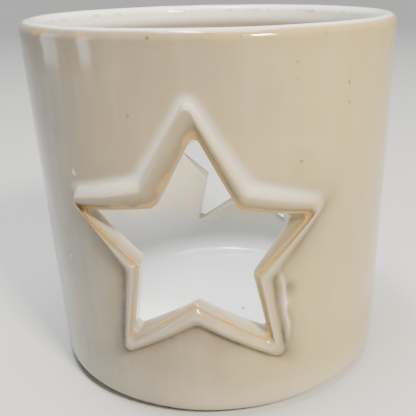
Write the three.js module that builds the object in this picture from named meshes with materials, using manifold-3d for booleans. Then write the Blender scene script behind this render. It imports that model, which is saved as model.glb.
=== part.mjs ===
// A round stoneware tealight holder with a raised star window in its front wall and another in its back wall.
// The pot is one fired piece and stands on four self-adhesive felt pads.
// Millimetres, +Z up. The origin is on the table under the middle of the pot, and the front star faces -Y.
import * as THREE from "three";
import { TessellateModifier } from "three/addons/modifiers/TessellateModifier.js";
import { mergeVertices } from "three/addons/utils/BufferGeometryUtils.js";
import Module from "manifold-3d";

const wasm = await Module();
wasm.setup();

// The pot's body.
const RIM_RADIUS = 55; // outside, at the top
const HEEL_RADIUS = 53.4; // outside, at the bottom
const POT_HEIGHT = 105.2;
const WALL = 5.6;
const HEEL_ROUND = 3.5;
const FLOOR_THICKNESS = 6;
const FLOOR_FILLET = 6;

// The unglazed ring that the pot stands on, round a shallow recess.
const FOOT_RING_WIDTH = 15;
const RECESS_DEPTH = 1.2;
const RECESS_SLOPE = 1.5;

// The felt pads under the foot ring.
const PAD_COUNT = 4;
const PAD_RADIUS = 5.5;
const PAD_THICKNESS = 1;
const ADHESIVE_FILM = 0.3;

// The star windows and their raised frames, both modelled by hand from one template.
// Heights are from the pot's own underside to the star's centre.
const STAR_REACH = 31.2; // from the centre to the window's top tip
const FRONT_STAR_HEIGHT = 50.7;
const REAR_STAR_HEIGHT = 44.8;
const REAR_STAR_TURN = 173.8; // degrees round from the front star, by way of +X

// Outlines of the star: tips and notches by turns, clockwise from the top tip.
// Each corner has its reach as a share of STAR_REACH, its bearing in degrees, and the radius of its rounding.
const WINDOW_CORNERS = [
  [1, 2, 1.4],
  [0.515, 43.7, 4],
  [0.955, 74.2, 1.2],
  [0.504, 113.6, 0.6],
  [1.021, 144.7, 1.2],
  [0.44, 183, 1],
  [1.019, 215.8, 1.2],
  [0.489, 256, 0.6],
  [1.024, 286.2, 1],
  [0.492, 322.7, 4],
];
// Where the face of the frame meets its outer slope.
const CREST_CORNERS = [
  [1.222, -0.3, 1.2],
  [0.644, 39, 3],
  [1.085, 71, 1.5],
  [0.592, 113.8, 1.5],
  [1.177, 145.5, 1.2],
  [0.553, 182, 2.5],
  [1.149, 214.8, 1],
  [0.564, 254.1, 2],
  [1.13, 289.5, 0.8],
  [0.667, 322.7, 2],
];
// Where the slope meets the wall: far out on the upper edges, which are blended in softly,
// and close on the lower ones.
const FOOT_CORNERS = [
  [1.285, 0, 2],
  [0.727, 38, 4],
  [1.175, 72, 3],
  [0.687, 113.9, 3],
  [1.342, 146.1, 1.8],
  [0.664, 181, 3],
  [1.283, 213.9, 1.5],
  [0.645, 252.4, 3],
  [1.215, 291.3, 3],
  [0.761, 325.4, 4],
];
const FRAME_RELIEF = 2.4;
const FRAME_ROOT = 0.5; // how far the slope runs on below the wall's face
const FRAME_KEY = 1.2; // straight part of the frame inside the wall

// Fineness of the faceting.
const ROUND_STEPS = 72;
const CORNER_STEPS = 3;
const SLOPE_STEPS = 2;
const FACET_LENGTH = 7; // longest edge on a bent face

const UNDERSIDE = PAD_THICKNESS + ADHESIVE_FILM;
const FOOT_OUTER = HEEL_RADIUS - HEEL_ROUND;
const PAD_CIRCLE = FOOT_OUTER - FOOT_RING_WIDTH / 2;

const stoneware = new THREE.MeshStandardMaterial({ color: 0xcabfa9, roughness: 0.22, metalness: 0 });
const felt = new THREE.MeshStandardMaterial({ color: 0x54463a, roughness: 0.95, metalness: 0 });

// Outside radius of the plain wall at a height above the table.
function wallRadius(height) {
  const share = (height - UNDERSIDE) / POT_HEIGHT;
  return HEEL_RADIUS + (RIM_RADIUS - HEEL_RADIUS) * share;
}

// A three.js geometry as a manifold solid.
function solid(geometry) {
  const bare = new THREE.BufferGeometry();
  const loose = geometry.index ? geometry.toNonIndexed() : geometry;
  bare.setAttribute("position", loose.getAttribute("position"));
  const merged = mergeVertices(bare, 1e-4);
  const vertProperties = merged.getAttribute("position").array;
  const triVerts = new Uint32Array(merged.index.array);
  return new wasm.Manifold(new wasm.Mesh({ numProp: 3, vertProperties, triVerts }));
}

// A manifold solid as a named mesh.
function meshOf(body, name, material) {
  const { vertProperties, triVerts } = body.getMesh();
  const geometry = new THREE.BufferGeometry();
  geometry.setAttribute("position", new THREE.BufferAttribute(vertProperties, 3));
  geometry.setIndex(new THREE.BufferAttribute(triVerts, 1));
  geometry.computeVertexNormals();
  const mesh = new THREE.Mesh(geometry, material);
  mesh.name = name;
  return mesh;
}

// The plain pot: its section runs from the recess out over the foot, up the wall, over the rim
// and down to the floor.
function potBody() {
  const top = UNDERSIDE + POT_HEIGHT;
  const floor = UNDERSIDE + FLOOR_THICKNESS;
  const lip = WALL / 2;
  const section = new THREE.Path();
  section.moveTo(0, UNDERSIDE + RECESS_DEPTH);
  section.lineTo(FOOT_OUTER - FOOT_RING_WIDTH - RECESS_SLOPE, UNDERSIDE + RECESS_DEPTH);
  section.lineTo(FOOT_OUTER - FOOT_RING_WIDTH, UNDERSIDE);
  section.lineTo(FOOT_OUTER, UNDERSIDE);
  section.absarc(FOOT_OUTER, UNDERSIDE + HEEL_ROUND, HEEL_ROUND, -Math.PI / 2, 0, false);
  section.lineTo(wallRadius(top - lip), top - lip);
  section.absarc(wallRadius(top - lip) - lip, top - lip, lip, 0, Math.PI, false);
  const filletTop = floor + FLOOR_FILLET;
  const filletCentre = wallRadius(filletTop) - WALL - FLOOR_FILLET;
  section.lineTo(filletCentre + FLOOR_FILLET, filletTop);
  section.absarc(filletCentre, filletTop, FLOOR_FILLET, 0, -Math.PI / 2, true);
  section.lineTo(0, floor);
  const turned = new THREE.LatheGeometry(section.getPoints(CORNER_STEPS), ROUND_STEPS);
  turned.rotateX(Math.PI / 2);
  return solid(turned);
}

// One of the star's outlines: straight edges between rounded corners.
// Every outline has the same number of points.
function starShape(corners) {
  const points = corners.map(([share, bearing]) => {
    const turn = THREE.MathUtils.degToRad(bearing);
    return new THREE.Vector2(Math.sin(turn), Math.cos(turn)).multiplyScalar(share * STAR_REACH);
  });
  const eased = points.map((point, i) => {
    const back = points[(i + 9) % 10].clone().sub(point).normalize();
    const on = points[(i + 1) % 10].clone().sub(point).normalize();
    const ease = corners[i][2] / Math.tan(Math.acos(back.dot(on)) / 2);
    return { point, before: back.multiplyScalar(ease).add(point), after: on.multiplyScalar(ease).add(point) };
  });
  const shape = new THREE.Shape();
  shape.moveTo(eased[0].after.x, eased[0].after.y);
  for (let i = 1; i <= 10; i += 1) {
    const { point, before, after } = eased[i % 10];
    shape.lineTo(before.x, before.y);
    shape.quadraticCurveTo(point.x, point.y, after.x, after.y);
  }
  return shape;
}

// Bends a shape drawn in the star's flat plane round the wall: its depth becomes the distance
// from the wall's face.
function bendOntoWall(geometry, centreHeight) {
  const position = geometry.getAttribute("position");
  for (let i = 0; i < position.count; i += 1) {
    const height = position.getY(i) + centreHeight;
    const radius = wallRadius(height);
    const angle = Math.asin(position.getX(i) / radius);
    const reach = radius + position.getZ(i);
    position.setXYZ(i, reach * Math.sin(angle), -reach * Math.cos(angle), height);
  }
}

// The raised frame of a star before its window is cut: a plate with a rounded slope, in short facets,
// rooted in the wall.
function starFrame(centreHeight) {
  const ring = (corners) => starShape(corners).getPoints(CORNER_STEPS).slice(1).reverse();
  const foot = ring(FOOT_CORNERS);
  const crest = ring(CREST_CORNERS);
  const position = foot.flatMap(({ x, y }) => [x, y, -FRAME_KEY - FRAME_ROOT]);
  for (let step = 0; step <= SLOPE_STEPS; step += 1) {
    const turn = (step / SLOPE_STEPS) * (Math.PI / 2);
    const rise = Math.sin(turn) * (FRAME_RELIEF + FRAME_ROOT) - FRAME_ROOT;
    foot.forEach((point, i) => {
      const { x, y } = point.clone().lerp(crest[i], 1 - Math.cos(turn));
      position.push(x, y, rise);
    });
  }
  const count = foot.length;
  const top = (SLOPE_STEPS + 1) * count;
  const index = [];
  for (let here = 0; here < top; here += 1) {
    const beside = (here + 1) % count === 0 ? here + 1 - count : here + 1;
    index.push(here, beside, beside + count, here, beside + count, here + count);
  }
  for (const [a, b, c] of THREE.ShapeUtils.triangulateShape(foot, [])) index.push(a, c, b);
  for (const [a, b, c] of THREE.ShapeUtils.triangulateShape(crest, [])) index.push(top + a, top + b, top + c);
  const plate = new THREE.BufferGeometry();
  plate.setAttribute("position", new THREE.Float32BufferAttribute(position, 3));
  plate.setIndex(index);
  const frame = new TessellateModifier(FACET_LENGTH, 8).modify(plate);
  bendOntoWall(frame, centreHeight);
  return frame;
}

// The straight star-shaped cut through one wall, from inside the pot out past the frame.
function starCut(centreHeight) {
  const inner = HEEL_RADIUS / 4;
  const outer = RIM_RADIUS + 2 * FRAME_RELIEF;
  const cut = new THREE.ExtrudeGeometry(starShape(WINDOW_CORNERS), {
    depth: outer - inner,
    bevelEnabled: false,
    curveSegments: CORNER_STEPS,
  });
  cut.translate(0, 0, inner);
  cut.rotateX(Math.PI / 2);
  cut.translate(0, 0, centreHeight);
  return cut;
}

// The pot with both windows framed and cut.
function pot() {
  const windows = [
    { height: UNDERSIDE + FRONT_STAR_HEIGHT, turn: 0 },
    { height: UNDERSIDE + REAR_STAR_HEIGHT, turn: THREE.MathUtils.degToRad(REAR_STAR_TURN) },
  ];
  let body = potBody();
  for (const { height, turn } of windows) {
    body = body.add(solid(starFrame(height).rotateZ(turn)));
    body = body.subtract(solid(starCut(height).rotateZ(turn)));
  }
  return meshOf(body, "stoneware_pot", stoneware);
}

// One felt disc.
function pad(number) {
  const disc = new THREE.CylinderGeometry(PAD_RADIUS, PAD_RADIUS, PAD_THICKNESS, 24);
  disc.rotateX(Math.PI / 2);
  const mesh = new THREE.Mesh(disc, felt);
  const turn = ((number - 0.5) / PAD_COUNT) * 2 * Math.PI;
  mesh.name = `felt_pad_${number}`;
  mesh.position.set(PAD_CIRCLE * Math.sin(turn), -PAD_CIRCLE * Math.cos(turn), PAD_THICKNESS / 2);
  return mesh;
}

const holder = new THREE.Group();
holder.add(pot());
for (let number = 1; number <= PAD_COUNT; number += 1) holder.add(pad(number));

export default holder;
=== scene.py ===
import math

import bmesh
import bpy
import numpy as np
from mathutils import Matrix, Vector


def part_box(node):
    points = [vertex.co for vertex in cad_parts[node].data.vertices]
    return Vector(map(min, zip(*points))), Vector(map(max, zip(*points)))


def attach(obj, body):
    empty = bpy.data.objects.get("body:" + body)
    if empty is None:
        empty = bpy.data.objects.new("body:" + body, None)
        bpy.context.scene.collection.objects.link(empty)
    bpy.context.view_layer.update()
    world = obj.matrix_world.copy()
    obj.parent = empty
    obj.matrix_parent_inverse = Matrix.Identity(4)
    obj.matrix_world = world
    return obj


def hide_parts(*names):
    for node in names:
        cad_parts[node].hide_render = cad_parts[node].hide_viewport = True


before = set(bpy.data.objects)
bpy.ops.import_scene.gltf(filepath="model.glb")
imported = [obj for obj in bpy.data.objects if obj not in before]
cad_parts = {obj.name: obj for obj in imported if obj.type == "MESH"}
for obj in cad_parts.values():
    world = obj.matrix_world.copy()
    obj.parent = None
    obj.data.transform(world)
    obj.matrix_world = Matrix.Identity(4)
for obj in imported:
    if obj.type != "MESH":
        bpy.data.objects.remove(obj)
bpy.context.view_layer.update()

# ------------------------------------------------------------------------------------------------
# The pot: its shape.
# One piece of cast stoneware with a star window cut by hand through the front wall and another
# through the back. Each window has a soft raised frame, modelled in the clay before firing.

mm = 0.001
pot_low, pot_high = (np.array(corner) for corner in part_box("stoneware_pot"))
underside = pot_low[2]
hand_play = 0.12 * mm  # how far the hand-finished faces wander either way
pot_height = pot_high[2] - pot_low[2] - 2 * hand_play
rim_radius = 55.0 * mm - 2 * hand_play
heel_radius = 53.4 * mm - 2 * hand_play
wall = 5.6 * mm - 2 * hand_play
lip = wall / 2
heel_round = 3.5 * mm
floor_height = underside + 6.0 * mm
floor_fillet = 6.0 * mm
fillet_height = floor_height + floor_fillet
rim_height = underside + pot_height - lip
foot_width = 15.0 * mm
recess = 1.2 * mm

star_reach = 31.2 * mm
window_corners = (  # tips and notches by turns: share of the reach, bearing in degrees, rounding in mm
    (1.000, 2.0, 1.4), (0.515, 43.7, 4.0), (0.955, 74.2, 1.2), (0.504, 113.6, 0.6), (1.021, 144.7, 1.2),
    (0.440, 183.0, 1.0), (1.019, 215.8, 1.2), (0.489, 256.0, 0.6), (1.024, 286.2, 1.0), (0.492, 322.7, 4.0),
)
back_corners = (  # the same corners where the cut comes out inside: the knife leant a little
    (1.000, 2.0, 1.4), (0.515, 43.7, 4.0), (0.800, 75.8, 1.5), (0.522, 119.0, 0.8), (1.021, 144.7, 1.2),
    (0.495, 181.3, 1.0), (1.019, 215.8, 1.2), (0.489, 256.0, 0.6), (1.024, 286.2, 1.0), (0.492, 322.7, 4.0),
)
crest_corners = (
    (1.222, -0.3, 1.2), (0.644, 39.0, 3.0), (1.085, 71.0, 1.5), (0.592, 113.8, 1.5), (1.177, 145.5, 1.2),
    (0.553, 182.0, 2.5), (1.149, 214.8, 1.0), (0.564, 254.1, 2.0), (1.130, 289.5, 0.8), (0.667, 322.7, 2.0),
)
foot_corners = (
    (1.285, 0.0, 2.0), (0.727, 38.0, 4.0), (1.175, 72.0, 3.0), (0.687, 113.9, 3.0), (1.342, 146.1, 1.8),
    (0.664, 181.0, 3.0), (1.283, 213.9, 1.5), (0.645, 252.4, 3.0), (1.215, 291.3, 3.0), (0.761, 325.4, 4.0),
)
slope_steepness = np.array((0.0, 0.1, 0.6, 0.9, 1.0, 1.0, 1.0, 0.9, 0.35, 0.0))  # at those corners
frame_relief = 2.25 * mm
window_relief = 0.42  # share of the relief that is left at the window's edge
outer_edge_round = 0.9 * mm
inner_edge_round = 0.5 * mm

per_edge = 40  # points along each edge of a star
around = 10 * per_edge
corner_index = np.array((1.65, 3.35, 6.65, 8.35)) * per_edge  # where a half wall's corners fall
across = int(3.3 * per_edge)  # steps over half a turn


def wall_radius(height):
    """Outside radius of the plain wall: it grows evenly from the heel to the rim."""
    return heel_radius + (rim_radius - heel_radius) * (height - underside) / pot_height


def turned_to(direction, target, share):
    """Unit vectors a share of the way round from one direction to another, along the arc between them."""
    along = np.sum(direction * target, axis=-1, keepdims=True)
    side = target - along * direction
    side /= np.linalg.norm(side, axis=-1, keepdims=True)
    turn = np.arccos(np.clip(along, -1, 1)) * share[..., None]
    return np.cos(turn) * direction + np.sin(turn) * side


def softened(rows, reach):
    """A running average along closed rows: each wave is weakened by exp(-(2 pi f reach)^2 / 2)."""
    waves = np.fft.fftfreq(rows.shape[0])
    weight = np.exp(-0.5 * (2 * np.pi * waves * reach) ** 2)
    weight = weight.reshape((-1,) + (1,) * (rows.ndim - 1))
    return np.fft.ifft(np.fft.fft(rows, axis=0) * weight, axis=0).real


def star_outline(corners, growth=0.0):
    """A star's outline as points, clockwise from the top tip. Every corner is an arc of its own radius,
    tangent to both of its edges, with its centre radius / sin(half angle) in from the corner. Growth moves
    each edge out along its normal first, so that a corner moves growth / sin(half angle)."""
    share, bearing, rounding = np.array(corners).T
    bearing = np.radians(bearing)
    corner = star_reach * share[:, None] * np.stack((np.sin(bearing), np.cos(bearing)), axis=1)
    edge = np.roll(corner, -1, axis=0) - corner
    edge /= np.linalg.norm(edge, axis=1, keepdims=True)
    normal = np.stack((-edge[:, 1], edge[:, 0]), axis=1)
    before = np.roll(normal, 1, axis=0)
    corner = corner + growth * (before + normal) / (1 + np.sum(before * normal, axis=1, keepdims=True))

    arriving = np.roll(edge, 1, axis=0)
    inward = edge - arriving
    inward /= np.linalg.norm(inward, axis=1, keepdims=True)
    half_angle = np.arccos(np.clip(np.sum(inward * edge, axis=1), -1, 1))[:, None]
    radius = rounding[:, None] * mm
    centre = corner + inward * radius / np.sin(half_angle)
    leaving = (corner + edge * radius / np.tan(half_angle) - centre) / radius
    reaching = (corner - arriving * radius / np.tan(half_angle) - centre) / radius

    arc_share = 0.2
    step = (np.arange(per_edge) / per_edge)[None, :]
    after = np.roll(np.arange(10), -1)
    first = turned_to(-inward[:, None], leaving[:, None], np.minimum(step / arc_share, 1) + 0 * half_angle)
    last = turned_to(-inward[after][:, None], reaching[after][:, None],
                     np.minimum((1 - step) / arc_share, 1) + 0 * half_angle)
    start = centre[:, None] + radius[:, None] * first
    end = centre[after][:, None] + radius[after][:, None] * last
    run = np.clip((step - arc_share) / (1 - 2 * arc_share), 0, 1)[..., None]
    return softened((start + (end - start) * run).reshape(around, 2), 0.8)


def half_wall_border(low, high, middle):
    """The border of half the wall, clockwise from the middle of its top, as angle from the star and height.
    It runs evenly along the top, down one side, back along the bottom and up the other side.
    middle is the angle of the half wall's middle."""
    quarter = math.pi / 2
    knots = np.concatenate(((0,), corner_index, (around,)))
    index = np.arange(around)
    angle = np.interp(index, knots, (0, quarter, quarter, -quarter, -quarter, 0))
    height = np.interp(index, knots, (high, high, low, low, high, high))
    return angle + middle, height


def wandering(points, size, reach, seed):
    """Smooth unevenness left by hand, never more than size: the tanh of a sum of sine waves.
    The waves run in random directions and are 0.7 to 1.6 times reach long."""
    rng = np.random.default_rng(seed)
    count = 14
    ways = rng.normal(size=(3, count))
    lengths = reach * rng.uniform(0.7, 1.6, count)
    ways *= 2 * np.pi / (lengths * np.linalg.norm(ways, axis=0))
    waves = np.sin(points @ ways + rng.uniform(0, 2 * np.pi, count))
    return size * np.tanh(waves.sum(axis=1) / math.sqrt(count))


def window_sheet(centre_height, turn, facing):
    """Half the wall with its window, as one grid. Rows run from the half wall's outer border in to the
    frame, up its slope, over its crest, round the window's edge, through the cut and out over the inside.
    turn is the star's way round the pot, and facing is the half wall's. Returns the points, that the rows
    close on themselves, and each point's glaze: how thin, inner and bare it is, how browned it is with
    painted shade, and how pooled it is with painted highlight."""
    window = star_outline(window_corners)
    lip_line = star_outline(window_corners, outer_edge_round)
    back_window = star_outline(back_corners)
    crest = star_outline(crest_corners)
    foot = star_outline(foot_corners)
    corners_passed = np.arange(around) / per_edge
    steepness = np.append(slope_steepness, slope_steepness[0])
    steep = softened(np.interp(corners_passed, np.arange(11), steepness), 6.0)

    def between(first, last, share):
        """Rows of points a share of the way from one outline to another, as width and height."""
        flat = first + (last - first) * share[..., None]
        return flat[..., 0], flat[..., 1] + centre_height

    def on_wall(angle, height, radius):
        return np.stack((radius * np.sin(angle), -radius * np.cos(angle), height + 0 * radius), axis=-1)

    # The frame, from the foot of its slope (rise 0) over its crest to the window's edge. A soft slope is
    # half a wave, and a steep one is most of a quarter circle.
    climb = np.linspace(0, 1, 14)[:, None] + 0 * steep
    fall = np.linspace(0, 1, 9)[1:, None] + 0 * steep
    soft_rise = 0.5 - 0.5 * np.cos(np.pi * climb)
    steep_rise = np.sin(np.pi / 2 * climb) ** 0.85
    slope_rise = soft_rise + (steep_rise - soft_rise) * steep
    face_rise = 1 - (1 - window_relief) * fall ** 1.9
    slope_u, slope_z = between(foot, crest, climb)
    face_u, face_z = between(crest, lip_line, fall)
    frame_u, frame_z = np.vstack((slope_u, face_u)), np.vstack((slope_z, face_z))
    rise = frame_relief * np.vstack((slope_rise, face_rise))
    frame_radius = wall_radius(frame_z) + rise
    frame_angle = np.arcsin(frame_u / frame_radius)
    frame_points = on_wall(frame_angle, frame_z, frame_radius)

    # The plain wall from the half wall's border in to the foot of the frame.
    border_angle, border_z = half_wall_border(underside + heel_round, rim_height, facing - turn)
    close_by = 0.11  # share of the way that gets finer rows, for the hand work beside the frame
    far_reach = close_by + (1 - close_by) * np.linspace(1, 0, 16) ** 1.4
    reach = np.concatenate((far_reach, np.linspace(close_by, 0, 15)[1:-1]))[:, None]
    outer_angle = frame_angle[0] + (border_angle - frame_angle[0]) * reach
    outer_z = frame_z[0] + (border_z - frame_z[0]) * reach
    outer_points = on_wall(outer_angle, outer_z, wall_radius(outer_z))

    # Round the window's front edge, through the cut and round its back edge.
    edge_rise = rise[-1]
    bend = np.linspace(0, np.pi / 2, 7)[1:, None]
    front_share = (1 - np.sin(bend)) + 0 * steep
    front_depth = outer_edge_round * (1 - np.cos(bend)) + 0 * steep
    cut_share = np.linspace(0, 1, 7)[1:-1, None]
    back_bend = np.linspace(0, np.pi / 2, 5)[:, None]
    back_share = inner_edge_round / outer_edge_round * (1 - np.cos(back_bend)) + 0 * steep
    front = between(window, lip_line, front_share)
    middle = between(window, back_window, cut_share + 0 * steep)
    back = between(back_window, star_outline(back_corners, outer_edge_round), back_share)
    cut_u, cut_z = (np.vstack(rows) for rows in zip(front, middle, back))
    face_y = -np.sqrt((wall_radius(cut_z) + edge_rise) ** 2 - cut_u ** 2)
    back_y = -np.sqrt((wall_radius(cut_z) - wall) ** 2 - cut_u ** 2)
    thickness = back_y - face_y
    first, last = len(front_share), len(front_share) + len(cut_share)
    depth = np.empty_like(thickness)
    depth[:first] = front_depth
    flat_depth = thickness[first:last] - outer_edge_round - inner_edge_round
    depth[first:last] = outer_edge_round + flat_depth * cut_share
    depth[last:] = thickness[last:] - inner_edge_round * (1 - np.sin(back_bend))
    cut_points = np.stack((cut_u, face_y + depth, cut_z), axis=-1)

    # The inside of the wall, from the window's back edge out to the border.
    apart = 4.0 * mm
    near_share = np.linspace(inner_edge_round / apart, 1, 6)[1:, None] + 0 * steep
    near_u, near_z = between(back_window, star_outline(back_corners, apart), near_share)
    near_angle = np.arcsin(near_u / (wall_radius(near_z) - wall))
    inner_border_angle, inner_border_z = half_wall_border(fillet_height, rim_height, facing - turn)
    reach = np.linspace(0, 1, 19)[1:, None] ** 1.25
    far_angle = near_angle[-1] + (inner_border_angle - near_angle[-1]) * reach
    far_z = near_z[-1] + (inner_border_z - near_z[-1]) * reach
    inner_angle = np.vstack((near_angle, far_angle))
    inner_z = np.vstack((near_z, far_z))
    inner_points = on_wall(inner_angle, inner_z, wall_radius(inner_z) - wall)

    points = np.concatenate((outer_points, frame_points, cut_points, inner_points))
    cos, sin = math.cos(turn), math.sin(turn)
    points = points @ np.array(((cos, sin, 0), (-sin, cos, 0), (0, 0, 1)))

    # The glaze runs thin on the window's edge, a little on the crest and where the cut leans. Slopes that
    # face up are painted white, partly pooled glaze and partly painted highlight from the light above. Where
    # a frame's steep side meets the wall, and on faces that turn down, the colour is darkened, partly browned
    # glaze and partly painted shade. The liner starts in the cut.
    run = np.roll(foot, -1, axis=0) - np.roll(foot, 1, axis=0)
    facing_up = softened(run[:, 0] / np.linalg.norm(run, axis=1), 5.0)
    facing_up = np.clip(facing_up, 0, 1) * (1 - steep)
    leant = np.clip((window - back_window)[:, 0] / (4 * mm), 0, 1)
    gap = np.hypot(outer_z - frame_z[0], wall_radius(outer_z) * (outer_angle - frame_angle[0]))
    beside = 0.8 * np.exp(-gap / (0.8 * mm)) + 0.55 * np.exp(-(gap / (5 * mm)) ** 2)
    brim = np.exp(-(gap / (1.6 * mm)) ** 2)
    on_bend, on_cut, on_back = 0 * (bend + steep), 0 * (cut_share + steep), 0 * back_share
    rows_of = {
        "thin": (
            0 * gap, 0.3 * climb ** 4, 0.3 + 0.5 * fall ** (3 + 3 * steep), on_bend + 1 - 0.3 * np.sin(bend),
            0.3 * (1 - cut_share) ** 2 + 0.5 * leant, 0.3 * np.sin(back_bend) + 0.2 * leant, 0 * inner_z),
        "liner": (
            0 * gap, 0 * climb, 0 * fall, on_bend + 0.3 * np.sin(bend),
            (0.4 + 0.5 * cut_share) * (1 - 0.7 * leant), on_back + 0.95, 0 * inner_z + 1),
        # Painted shade, partly browned glaze: beside and low on steep sides, on faces that turn down, round
        # the window's front edge.
        "browned_and_shaded": (
            steep * beside, steep * np.exp(-climb / 0.35), (1 - steep) * (0.12 + 0.78 * fall ** 1.2),
            on_bend + 0.8 * (1 - steep), on_cut, on_back, 0 * inner_z),
        # Painted highlight, partly pooled glaze: on slopes that face up and just beyond their foot, faint
        # near steep crests.
        "pooled_and_highlit": (
            brim * facing_up, (1 - climb ** 2) * facing_up + 0.2 * climb ** 4 * steep,
            0.2 * (1 - fall) ** 1.5 * steep, on_bend, on_cut, on_back, 0 * inner_z),
    }
    columns = [np.vstack(rows) for rows in rows_of.values()]
    return points, True, np.stack(columns + [0 * columns[0]], axis=-1)


def turned_rings(profile, glaze):
    """A profile of (radius, height) carried once round the pot's axis, one row for each point of it."""
    angle = np.linspace(-math.pi / 2, 1.5 * math.pi, 2 * across + 1)
    radius, height = profile[:, :1], profile[:, 1:]
    points = np.stack((radius * np.sin(angle), -radius * np.cos(angle), height + 0 * angle), axis=-1)
    return points, False, np.broadcast_to(glaze[:, None, :], points.shape[:2] + glaze.shape[1:])


def bent(centre, radius, start, end, steps):
    """Points on an arc of a profile, from one angle to another, measured from straight out."""
    angle = np.radians(np.linspace(start, end, steps))
    return np.stack((centre[0] + radius * np.cos(angle), centre[1] + radius * np.sin(angle)), axis=1)


def straight(start, end, steps):
    """Points on a straight stretch of a profile."""
    return np.linspace(start, end, steps)


# The rim, from the outside over to the inside. The glaze drains off its outer shoulder.
rim_profile = bent((wall_radius(rim_height) - lip, rim_height), lip, 0, 180, 19)
rim_turn = np.linspace(0, 1, 19)
rim_thin = 0.7 * np.exp(-((rim_turn - 0.1) / 0.13) ** 2) + 0.6 * np.exp(-((rim_turn - 0.9) / 0.12) ** 2)
rim_inner = np.clip((rim_turn - 0.26) / 0.12, 0, 1)
rim_glaze = np.stack((rim_thin, rim_inner, 0 * rim_turn, 0 * rim_turn, 0 * rim_turn), axis=1)

# The heel, the bare foot ring and the shallow recess inside it.
heel_height = underside + heel_round
foot_outer = wall_radius(heel_height) - heel_round
heel_profile = bent((foot_outer, heel_height), heel_round, 0, -90, 9)
ring_inner = foot_outer - foot_width
foot_profile = np.vstack((
    straight((foot_outer, underside), (ring_inner, underside), 9)[1:],
    straight((ring_inner, underside), (ring_inner - 1.5 * mm, underside + recess), 4)[1:],
    straight((ring_inner - 1.5 * mm, underside + recess), (0, underside + recess), 14)[1:],
))
base_profile = np.vstack((heel_profile, foot_profile))
base_glaze = np.zeros((len(base_profile), 5))
base_glaze[:, 4] = np.clip((np.arange(len(base_profile)) - 5) / 2, 0, 1)

# The bottom of the wall's inside, the fillet and the floor.
fillet_centre = wall_radius(fillet_height) - wall - floor_fillet
floor_profile = np.vstack((
    bent((fillet_centre, fillet_height), floor_fillet, 0, -90, 11),
    straight((fillet_centre, floor_height), (0, floor_height), 20)[1:],
))
floor_glaze = np.zeros((len(floor_profile), 5))
floor_glaze[:, 1] = 1


def grid_faces(rows, columns, closed):
    """Faces between neighbouring rows and columns of a grid. If closed, the last column joins the first."""
    row = np.arange(rows - 1)[:, None]
    column = np.arange(columns if closed else columns - 1)[None, :]
    beside = (column + 1) % columns
    corners = (row * columns + column, row * columns + beside,
               (row + 1) * columns + beside, (row + 1) * columns + column)
    return np.stack(corners, axis=-1).reshape(-1, 4)


def sewn(name, grids, attributes=()):
    """One closed mesh from grids that share their borders: doubles are merged and faces turned outwards."""
    points = np.concatenate([grid.reshape(-1, 3) for grid, _, _ in grids])
    faces = []
    offset = 0
    for grid, closed, _ in grids:
        faces.append(grid_faces(*grid.shape[:2], closed) + offset)
        offset += grid.shape[0] * grid.shape[1]
    mesh = bpy.data.meshes.new(name)
    mesh.from_pydata(points, [], np.concatenate(faces))
    for column, attribute in enumerate(attributes):
        values = np.concatenate([glaze.reshape(-1, glaze.shape[-1])[:, column] for _, _, glaze in grids])
        layer = mesh.attributes.new(attribute, "FLOAT", "POINT")
        layer.data.foreach_set("value", values.astype(np.float32))
    shell = bmesh.new()
    shell.from_mesh(mesh)
    bmesh.ops.remove_doubles(shell, verts=shell.verts, dist=0.002 * mm)
    bmesh.ops.recalc_face_normals(shell, faces=shell.faces)
    shell.to_mesh(mesh)
    shell.free()
    mesh.shade_smooth()
    piece = bpy.data.objects.new(name, mesh)
    bpy.context.scene.collection.objects.link(piece)
    return piece


rear_turn = math.radians(173.8)
pot = sewn("pot", (
    window_sheet(underside + 50.7 * mm, 0.0, 0.0),
    window_sheet(underside + 44.8 * mm, rear_turn, math.pi),
    turned_rings(rim_profile, rim_glaze),
    turned_rings(base_profile, base_glaze),
    turned_rings(floor_profile, floor_glaze),
), attributes=("thin", "liner", "browned_and_shaded", "pooled_and_highlit", "bare"))

# Hand finishing: every glazed face wanders a little, and the bare foot stays flat.
count = len(pot.data.vertices)
points = np.empty(3 * count)
normals = np.empty(3 * count)
bare = np.empty(count)
pot.data.vertices.foreach_get("co", points)
pot.data.vertex_normals.foreach_get("vector", normals)
pot.data.attributes["bare"].data.foreach_get("value", bare)
points = points.reshape(-1, 3)
play = 0.7 * wandering(points, hand_play, 42 * mm, 5) + 0.3 * wandering(points, hand_play, 14 * mm, 11)
# A run of slip was smeared down beside the front star's right foot, with a thumb dent next to it. The run
# and its lump are painted white, partly pooled glaze and partly painted highlight, and the dent and the run's
# far side are darkened, partly browned glaze and partly painted shade.
run_height = points[:, 2] - underside
run_side = 22.2 * mm + 0.1 * (36 * mm - run_height) + 0.3 * mm * np.sin(run_height / (1.9 * mm))
from_run = (points[:, 0] - run_side) / (0.7 * mm)
along_run = np.exp(-((run_height - 34 * mm) / (10 * mm)) ** 4)
from_lump = np.hypot(points[:, 0] - 22.6 * mm, (run_height - 34.5 * mm) / 1.5) / (1.3 * mm)
from_dent = np.hypot(points[:, 0] - 24.3 * mm, (run_height - 38 * mm) / 1.6) / (1.3 * mm)
on_front = (points[:, 1] < -44 * mm) & (np.hypot(points[:, 0], points[:, 1]) > heel_radius - mm)
run = np.exp(-from_run ** 2) * along_run * on_front
lump = np.exp(-from_lump ** 2) * on_front
dent = np.exp(-from_dent ** 2) * on_front
lee = np.exp(-((from_run - 1.7) / 0.9) ** 2) * along_run * on_front
smear = 0.8 * mm * run + 0.7 * mm * lump - 0.9 * mm * dent
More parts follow.
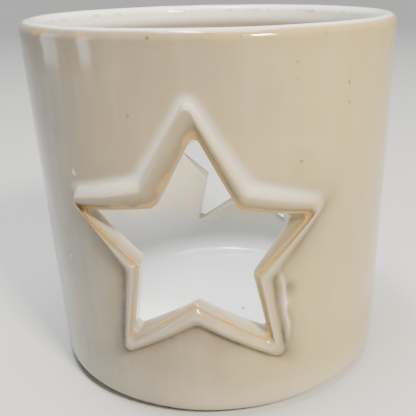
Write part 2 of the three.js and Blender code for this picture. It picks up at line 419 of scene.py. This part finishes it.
for name, change in (("pooled_and_highlit", 0.3 * run + 0.5 * lump), ("browned_and_shaded", 0.75 * dent + 0.3 * lee - 0.5 * run)):
    layer = pot.data.attributes[name].data
    values = np.empty(count)
    layer.foreach_get("value", values)
    layer.foreach_set("value", np.clip(values + change, 0, 1).astype(np.float32))
points = points + normals.reshape(-1, 3) * (play * (1 - bare) + smear)[:, None]
pot.data.vertices.foreach_set("co", points.ravel())
pot.data.update()

# ------------------------------------------------------------------------------------------------
# The pot: its glaze.
# A glossy cream reactive glaze outside, which breaks to tan where it runs thin on edges, and a
# bluish-white liner inside. Iron in the clay comes through as small brown specks.


def shader_nodes(material):
    """A material's node tree, empty but for a Principled shader joined to an output, and that shader."""
    material.use_nodes = True
    tree = material.node_tree
    tree.nodes.clear()
    shader = tree.nodes.new("ShaderNodeBsdfPrincipled")
    output = tree.nodes.new("ShaderNodeOutputMaterial")
    tree.links.new(shader.outputs["BSDF"], output.inputs["Surface"])
    return tree, shader


def place(tree, kind, inputs=None, **settings):
    """A node of one kind with its settings. Each input is set, or joined to another node's socket."""
    made = tree.nodes.new("ShaderNode" + kind)
    for name, value in settings.items():
        setattr(made, name, value)
    for name, value in (inputs or {}).items():
        if isinstance(value, bpy.types.NodeSocket):
            tree.links.new(value, made.inputs[name])
        else:
            made.inputs[name].default_value = value
    return made


def noise(tree, coords, size, detail=3.0, roughness=0.5):
    """Soft cloudy variation from 0 to 1, with patches about size across."""
    made = place(tree, "TexNoise", {"Vector": coords, "Scale": 1 / size,
                                    "Detail": detail, "Roughness": roughness})
    return made.outputs["Fac"]


def ramp(tree, value, low, high, to_low=0.0, to_high=1.0):
    """A value eased from one range to another, and held at the ends."""
    made = place(tree, "MapRange", {"Value": value, "From Min": low, "From Max": high,
                                    "To Min": to_low, "To Max": to_high}, interpolation_type="SMOOTHSTEP")
    return made.outputs["Result"]


def math_of(tree, operation, first, second):
    """One sum, product or the like of two values."""
    return place(tree, "Math", {0: first, 1: second}, operation=operation).outputs[0]


def distance_from(tree, coords, spot):
    """How far the surface is from a spot given in millimetres."""
    centre = tuple(value * mm for value in spot)
    return place(tree, "VectorMath", {0: coords, 1: centre}, operation="DISTANCE").outputs["Value"]


def mixed(tree, share, first, second):
    """Two colours mixed by a share."""
    made = place(tree, "Mix", {"Factor": share}, data_type="RGBA")
    for socket, value in ((made.inputs[6], first), (made.inputs[7], second)):
        if isinstance(value, bpy.types.NodeSocket):
            tree.links.new(value, socket)
        else:
            socket.default_value = (*value, 1)
    return made.outputs[2]


glaze = bpy.data.materials.new("reactive_glaze")
tree, shader = shader_nodes(glaze)
coords = place(tree, "TexCoord").outputs["Object"]
thin, liner, browned_and_shaded, pooled_and_highlit, bare = (place(tree, "Attribute", attribute_name=name).outputs["Fac"]
                                      for name in ("thin", "liner", "browned_and_shaded", "pooled_and_highlit", "bare"))

cloud = noise(tree, coords, 38 * mm, 2.0)
mottle = noise(tree, coords, 7 * mm, 4.0, 0.6)
grain = noise(tree, coords, 1.1 * mm, 3.0, 0.6)
position = place(tree, "SeparateXYZ", {"Vector": coords})

# The right side is painted creamier and the left cool, grey and darker, more so low down: partly the
# glaze's own tone and partly painted shade on the side turned away from the key light.
height = position.outputs["Z"]
tone_and_shade_side = math_of(tree, "ADD", position.outputs["X"], ramp(tree, cloud, 0.3, 0.7, -12 * mm, 12 * mm))
tone_and_shade_side = math_of(tree, "ADD", tone_and_shade_side, ramp(tree, height, 0.0, 100 * mm, -4 * mm, 6 * mm))
cream = mixed(tree, ramp(tree, tone_and_shade_side, -56 * mm, -2 * mm), (0.18, 0.167, 0.143), (0.275, 0.224, 0.139))
cream = mixed(tree, ramp(tree, tone_and_shade_side, -5 * mm, 45 * mm), cream, (0.385, 0.31, 0.145))
warm_side = ramp(tree, tone_and_shade_side, -50 * mm, 10 * mm, 0.3, 1.0)
patches = math_of(tree, "MULTIPLY", ramp(tree, mottle, 0.45, 0.75, 0.0, 0.24), warm_side)
cream = mixed(tree, patches, cream, (0.41, 0.345, 0.215))
runs = place(tree, "Mapping", {"Vector": coords, "Scale": (1.0, 1.0, 0.14)}).outputs["Vector"]
streaks = ramp(tree, noise(tree, runs, 4 * mm, 3.0), 0.42, 0.7, 0.0, 0.1)
cream = mixed(tree, streaks, cream, (0.46, 0.41, 0.32))
# Painted shade, partly browned glaze, broken up by the mottle: darker where a frame meets the wall, on faces
# that turn down and in the thumb dent.
brown_and_shade_smudge = math_of(tree, "MULTIPLY", browned_and_shaded, ramp(tree, mottle, 0.25, 0.65, 0.6, 1.0))
cream = mixed(tree, brown_and_shade_smudge, cream, (0.055, 0.038, 0.018))
# Painted highlight, partly pooled glaze: white on slopes that face up and on the slip run.
cream = mixed(tree, math_of(tree, "MULTIPLY", pooled_and_highlit, 0.85), cream, (0.72, 0.69, 0.61))

# A lighter band low on the warm side is painted reflection of the pale floor in the rounded heel, and the
# glaze left a few white crumbs on the wall.
uneven_height = math_of(tree, "ADD", height, ramp(tree, cloud, 0.3, 0.7, -3 * mm, 3 * mm))
heel_reflection = math_of(tree, "MULTIPLY", ramp(tree, uneven_height, 4 * mm, 18 * mm, 0.3, 0.0), warm_side)
cream = mixed(tree, heel_reflection, cream, (0.62, 0.575, 0.46))
crumbs = (
    (29.0, -46.2, 75.1, 0.5), (-37.9, -38.5, 44.0, 0.6), (-32.2, -43.9, 70.5, 1.3), (-31.0, -44.8, 68.0, 0.8),
)
for *spot, size in crumbs:
    crumb = ramp(tree, distance_from(tree, coords, spot), 0.3 * size * mm, size * mm, 0.7, 0.0)
    crumb = math_of(tree, "MULTIPLY", crumb, ramp(tree, grain, 0.4, 0.55))
    cream = mixed(tree, crumb, cream, (0.8, 0.78, 0.72))

# The liner is bluish-white on the floor, greyer up to a wavy line and beige above it, with a browner ring
# under the rim.
line = math_of(tree, "ADD", height, ramp(tree, cloud, 0.3, 0.7, -6 * mm, 6 * mm))
above_floor = ramp(tree, height, floor_height + 1 * mm, floor_height + 9 * mm)
white = mixed(tree, above_floor, (0.86, 0.885, 0.90), (0.43, 0.44, 0.45))
white = mixed(tree, ramp(tree, line, 24 * mm, 28 * mm), white, (0.52, 0.475, 0.385))
under_rim = ramp(tree, height, rim_height - 12 * mm, rim_height - 5 * mm)
white = mixed(tree, under_rim, white, (0.26, 0.205, 0.15))
at_rim = ramp(tree, height, rim_height - 4.5 * mm, rim_height - 0.5 * mm)
white = mixed(tree, at_rim, white, (0.80, 0.785, 0.74))
body = mixed(tree, liner, cream, white)

# Thin glaze shows the clay: a smooth tan band, broken here and there, with small brown specks in it.
# The glaze also drains off the outside just below the rim.
near_rim = ramp(tree, height, rim_height - 2.2 * mm, rim_height + 0.8 * mm, 0.0, 0.6)
outside = ramp(tree, liner, 0.0, 0.3, 1.0, 0.0)
thinnest = math_of(tree, "MAXIMUM", thin, math_of(tree, "MULTIPLY", near_rim, outside))
broken = math_of(tree, "ADD", ramp(tree, mottle, 0.32, 0.68, -0.3, 0.2),
                 ramp(tree, grain, 0.3, 0.7, -0.05, 0.05))
show_through = ramp(tree, math_of(tree, "ADD", thinnest, broken), 0.35, 1.0)
tan = mixed(tree, ramp(tree, grain, 0.6, 0.7), (0.40, 0.27, 0.09), (0.13, 0.07, 0.022))
tan = mixed(tree, ramp(tree, thinnest, 0.72, 0.98), tan, (0.34, 0.18, 0.03))
body = mixed(tree, math_of(tree, "MULTIPLY", show_through, 0.85), body, tan)

# Iron specks: a dot in a few of the cells, each of its own size, and some single larger ones.
cells = place(tree, "TexVoronoi", {"Vector": coords, "Scale": 1 / (8 * mm), "Randomness": 1.0})
chosen = place(tree, "SeparateColor", {"Color": cells.outputs["Color"]})
dot_size = ramp(tree, chosen.outputs["Red"], 0.8, 1.0, 0.0, 0.065)
dots = math_of(tree, "LESS_THAN", cells.outputs["Distance"], dot_size)
iron_spots = (
    (26.5, -47.6, 74.3, 0.55), (24.8, -48.5, 72.5, 0.3), (-14.5, -52.7, 86.9, 0.4), (38.1, -39.3, 92.1, 0.5),
    (38.4, -39.0, 87.2, 0.4), (38.9, -38.3, 78.4, 0.35), (25.1, -48.8, 98.3, 0.35), (25.2, -48.7, 94.5, 0.3),
    (-8.3, -54.3, 104.5, 0.6), (12.5, -53.5, 104.6, 0.5), (17.8, -51.7, 27.9, 0.4), (-29.3, -47.4, 61.6, 0.5),
    (8.4, -3.1, 7.3, 0.7), (-13.0, 6.0, 7.3, 0.35),
)
for *spot, size in iron_spots:
    dot = ramp(tree, distance_from(tree, coords, spot), 0.5 * size * mm, 1.3 * size * mm, 1.0, 0.0)
    dots = math_of(tree, "MAXIMUM", dots, dot)
body = mixed(tree, math_of(tree, "MULTIPLY", dots, 0.75), body, (0.10, 0.055, 0.025))

# Faint brown marks on the wall beside the front star's feet and its left arm: partly brown stain and partly
# painted shade under and beside the frame and in the thumb dent.
stains_and_shade = (
    (24.2, -48.4, 37.8, 3.4), (19.0, -50.5, 22.0, 5.0), (5.0, -53.6, 24.0, 6.0), (-26.0, -47.4, 51.0, 5.0),
    (27.0, -47.5, 74.0, 5.0), (-12.0, -53.0, 22.5, 5.0),
)
for *spot, size in stains_and_shade:
    stain_and_shade = ramp(tree, distance_from(tree, coords, spot), 0.0, size * mm, 0.5, 0.0)
    stain_and_shade = math_of(tree, "MULTIPLY", stain_and_shade, ramp(tree, mottle, 0.3, 0.65))
    body = mixed(tree, stain_and_shade, body, (0.22, 0.15, 0.08))

clay = mixed(tree, grain, (0.52, 0.41, 0.29), (0.62, 0.51, 0.38))
body = mixed(tree, bare, body, clay)
tree.links.new(body, shader.inputs["Base Color"])
gloss = ramp(tree, mottle, 0.3, 0.8, 0.09, 0.15)
tree.links.new(math_of(tree, "ADD", gloss, ramp(tree, bare, 0.0, 1.0, 0.0, 0.6)), shader.inputs["Roughness"])
shader.inputs["IOR"].default_value = 1.52

# The melt is slightly wavy, with a faint orange peel.
swell = noise(tree, coords, 13 * mm, 1.0)
wave = place(tree, "Bump", {"Height": swell, "Strength": 0.35, "Distance": 0.4 * mm})
peel = place(tree, "Bump", {"Height": grain, "Strength": 0.2, "Distance": 0.04 * mm,
                            "Normal": wave.outputs["Normal"]})
tree.links.new(peel.outputs["Normal"], shader.inputs["Normal"])

pot.data.materials.append(glaze)
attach(pot, "root")
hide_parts("stoneware_pot")

# ------------------------------------------------------------------------------------------------
# The felt pads.
# Four discs punched from dense brown wool felt, 1 mm thick, stuck under the bare foot ring.
# Punching leaves the rims slightly rounded and hairy.

felt = bpy.data.materials.new("wool_felt")
tree, shader = shader_nodes(felt)
coords = place(tree, "TexCoord").outputs["Object"]
fibre = noise(tree, coords, 0.35 * mm, 6.0, 0.75)
patch = noise(tree, coords, 2.5 * mm, 3.0)
wool = mixed(tree, ramp(tree, fibre, 0.35, 0.65), (0.052, 0.036, 0.026), (0.115, 0.085, 0.062))
wool = mixed(tree, ramp(tree, patch, 0.4, 0.7, 0.0, 0.4), wool, (0.15, 0.115, 0.088))
tree.links.new(wool, shader.inputs["Base Color"])
tree.links.new(ramp(tree, fibre, 0.2, 0.8, 0.86, 0.98), shader.inputs["Roughness"])
shader.inputs["Sheen Weight"].default_value = 0.35
nap = place(tree, "Bump", {"Height": fibre, "Strength": 0.9, "Distance": 0.12 * mm})
tree.links.new(nap.outputs["Normal"], shader.inputs["Normal"])


def felt_disc(low, high):
    """A disc as rings about its own middle. Its section is flat below and above, with the rim a superellipse
    |r|^6 + |z|^6 = 1, and the radius wavers by up to 1.5% where fibres stand out."""
    middle = (low + high) / 2
    half = (high - low) / 2
    turn = np.linspace(-np.pi / 2, np.pi / 2, 17)[:, None]
    angle = np.linspace(0, 2 * np.pi, 73)
    reach = np.abs(np.cos(turn)) ** (1 / 3)
    rise = np.sign(turn) * np.abs(np.sin(turn)) ** (1 / 3)
    reach[[0, -1]] = 0
    waver = 1 - 0.015 * (0.5 + 0.5 * np.sin(17 * angle + 3 * middle[0] / mm) * np.cos(29 * angle))
    x = middle[0] + half[0] * reach * waver * np.cos(angle)
    y = middle[1] + half[1] * reach * waver * np.sin(angle)
    z = middle[2] + half[2] * rise + 0 * angle
    return np.stack((x, y, z), axis=-1)


for number in range(1, 5):
    low, high = (np.array(corner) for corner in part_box(f"felt_pad_{number}"))
    disc = sewn(f"felt_disc_{number}", ((felt_disc(low, high), False, None),))
    disc.data.materials.append(felt)
    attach(disc, "root")
    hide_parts(f"felt_pad_{number}")

# ------------------------------------------------------------------------------------------------
# The studio.
# A pale bowl-shaped backdrop, a large cool soft box above it with a narrow one below, a small warm one
# high in front to the right, and two weak strips of cool light low on the left.


def bowl(floor_reach, bend, rise):
    """A round backdrop: a flat floor that turns up through a quarter circle into a wall all round."""
    turn = np.linspace(0, np.pi / 2, 25)
    curve = np.stack((floor_reach + bend * np.sin(turn), bend - bend * np.cos(turn)), axis=1)
    profile = np.vstack(((0, 0), curve, (floor_reach + bend, rise)))
    angle = np.linspace(0, 2 * np.pi, 97)
    radius, height = profile[:, :1], profile[:, 1:]
    return np.stack((radius * np.cos(angle), radius * np.sin(angle), height + 0 * angle), axis=-1)


backdrop = sewn("backdrop", ((bowl(1.3, 0.9, 2.4), False, None),))
paper = bpy.data.materials.new("backdrop_paper")
tree, shader = shader_nodes(paper)
coords = place(tree, "TexCoord").outputs["Object"]
tree.links.new(mixed(tree, noise(tree, coords, 0.4), (0.48, 0.48, 0.48), (0.51, 0.51, 0.51)),
               shader.inputs["Base Color"])
shader.inputs["Roughness"].default_value = 0.85
backdrop.data.materials.append(paper)


def soft_box(name, spot, aim, width, height, power, colour):
    """A rectangular soft light at a spot, facing a point."""
    light = bpy.data.lights.new(name, "AREA")
    light.shape = "RECTANGLE"
    light.size = width
    light.size_y = height
    light.energy = power
    light.color = colour
    holder = bpy.data.objects.new(name, light)
    bpy.context.scene.collection.objects.link(holder)
    way = Vector(aim) - Vector(spot)
    holder.location = spot
    holder.rotation_euler = way.to_track_quat("-Z", "Y").to_euler()


soft_box("top_box", (0.0, 0.1, 1.9), (0, 0.1, 0), 1.2, 1.2, 48.0, (0.94, 0.975, 1.0))
soft_box("rim_strip", (-0.08, -0.02, 0.75), (0, 0, 0.1), 0.34, 0.07, 4.0, (1.0, 0.99, 0.96))
soft_box("key_box", (0.43, -0.55, 0.63), (0, 0, 0.06), 0.16, 0.16, 19.0, (1.0, 0.89, 0.72))
soft_box("left_box", (-0.55, -0.25, 0.16), (0, 0, 0.05), 0.09, 0.3, 0.5, (0.84, 0.92, 1.0))
soft_box("far_left_box", (-0.62, 0.05, 0.16), (0, 0, 0.05), 0.16, 0.3, 0.4, (0.86, 0.93, 1.0))

world = bpy.data.worlds.new("studio_air")
world.use_nodes = True
world.node_tree.nodes["Background"].inputs["Color"].default_value = (0.93, 0.95, 1.0, 1)
world.node_tree.nodes["Background"].inputs["Strength"].default_value = 0.10
bpy.context.scene.world = world

# ------------------------------------------------------------------------------------------------
# The camera.
# Close above the rim, a little to the right of the front star, looking down at it. The lens is
# shifted a little because the pot sits off the middle of the view.

camera = bpy.data.cameras.new("camera")
camera.lens = 53.1
camera.sensor_width = 36.0
camera.shift_x = -0.088
camera.shift_y = 0.046
camera.clip_start = 0.005
viewer = bpy.data.objects.new("camera", camera)
heading = Matrix.Rotation(math.radians(3.54), 4, "Z")
pitch = Matrix.Rotation(math.radians(90 - 22.53), 4, "X")
roll = Matrix.Rotation(math.radians(-1.05), 4, "Z")
eye = Matrix.Translation((21.1 * mm, -192.9 * mm, 116.0 * mm + underside))
viewer.matrix_world = eye @ heading @ pitch @ roll
bpy.context.scene.collection.objects.link(viewer)
bpy.context.scene.camera = viewer
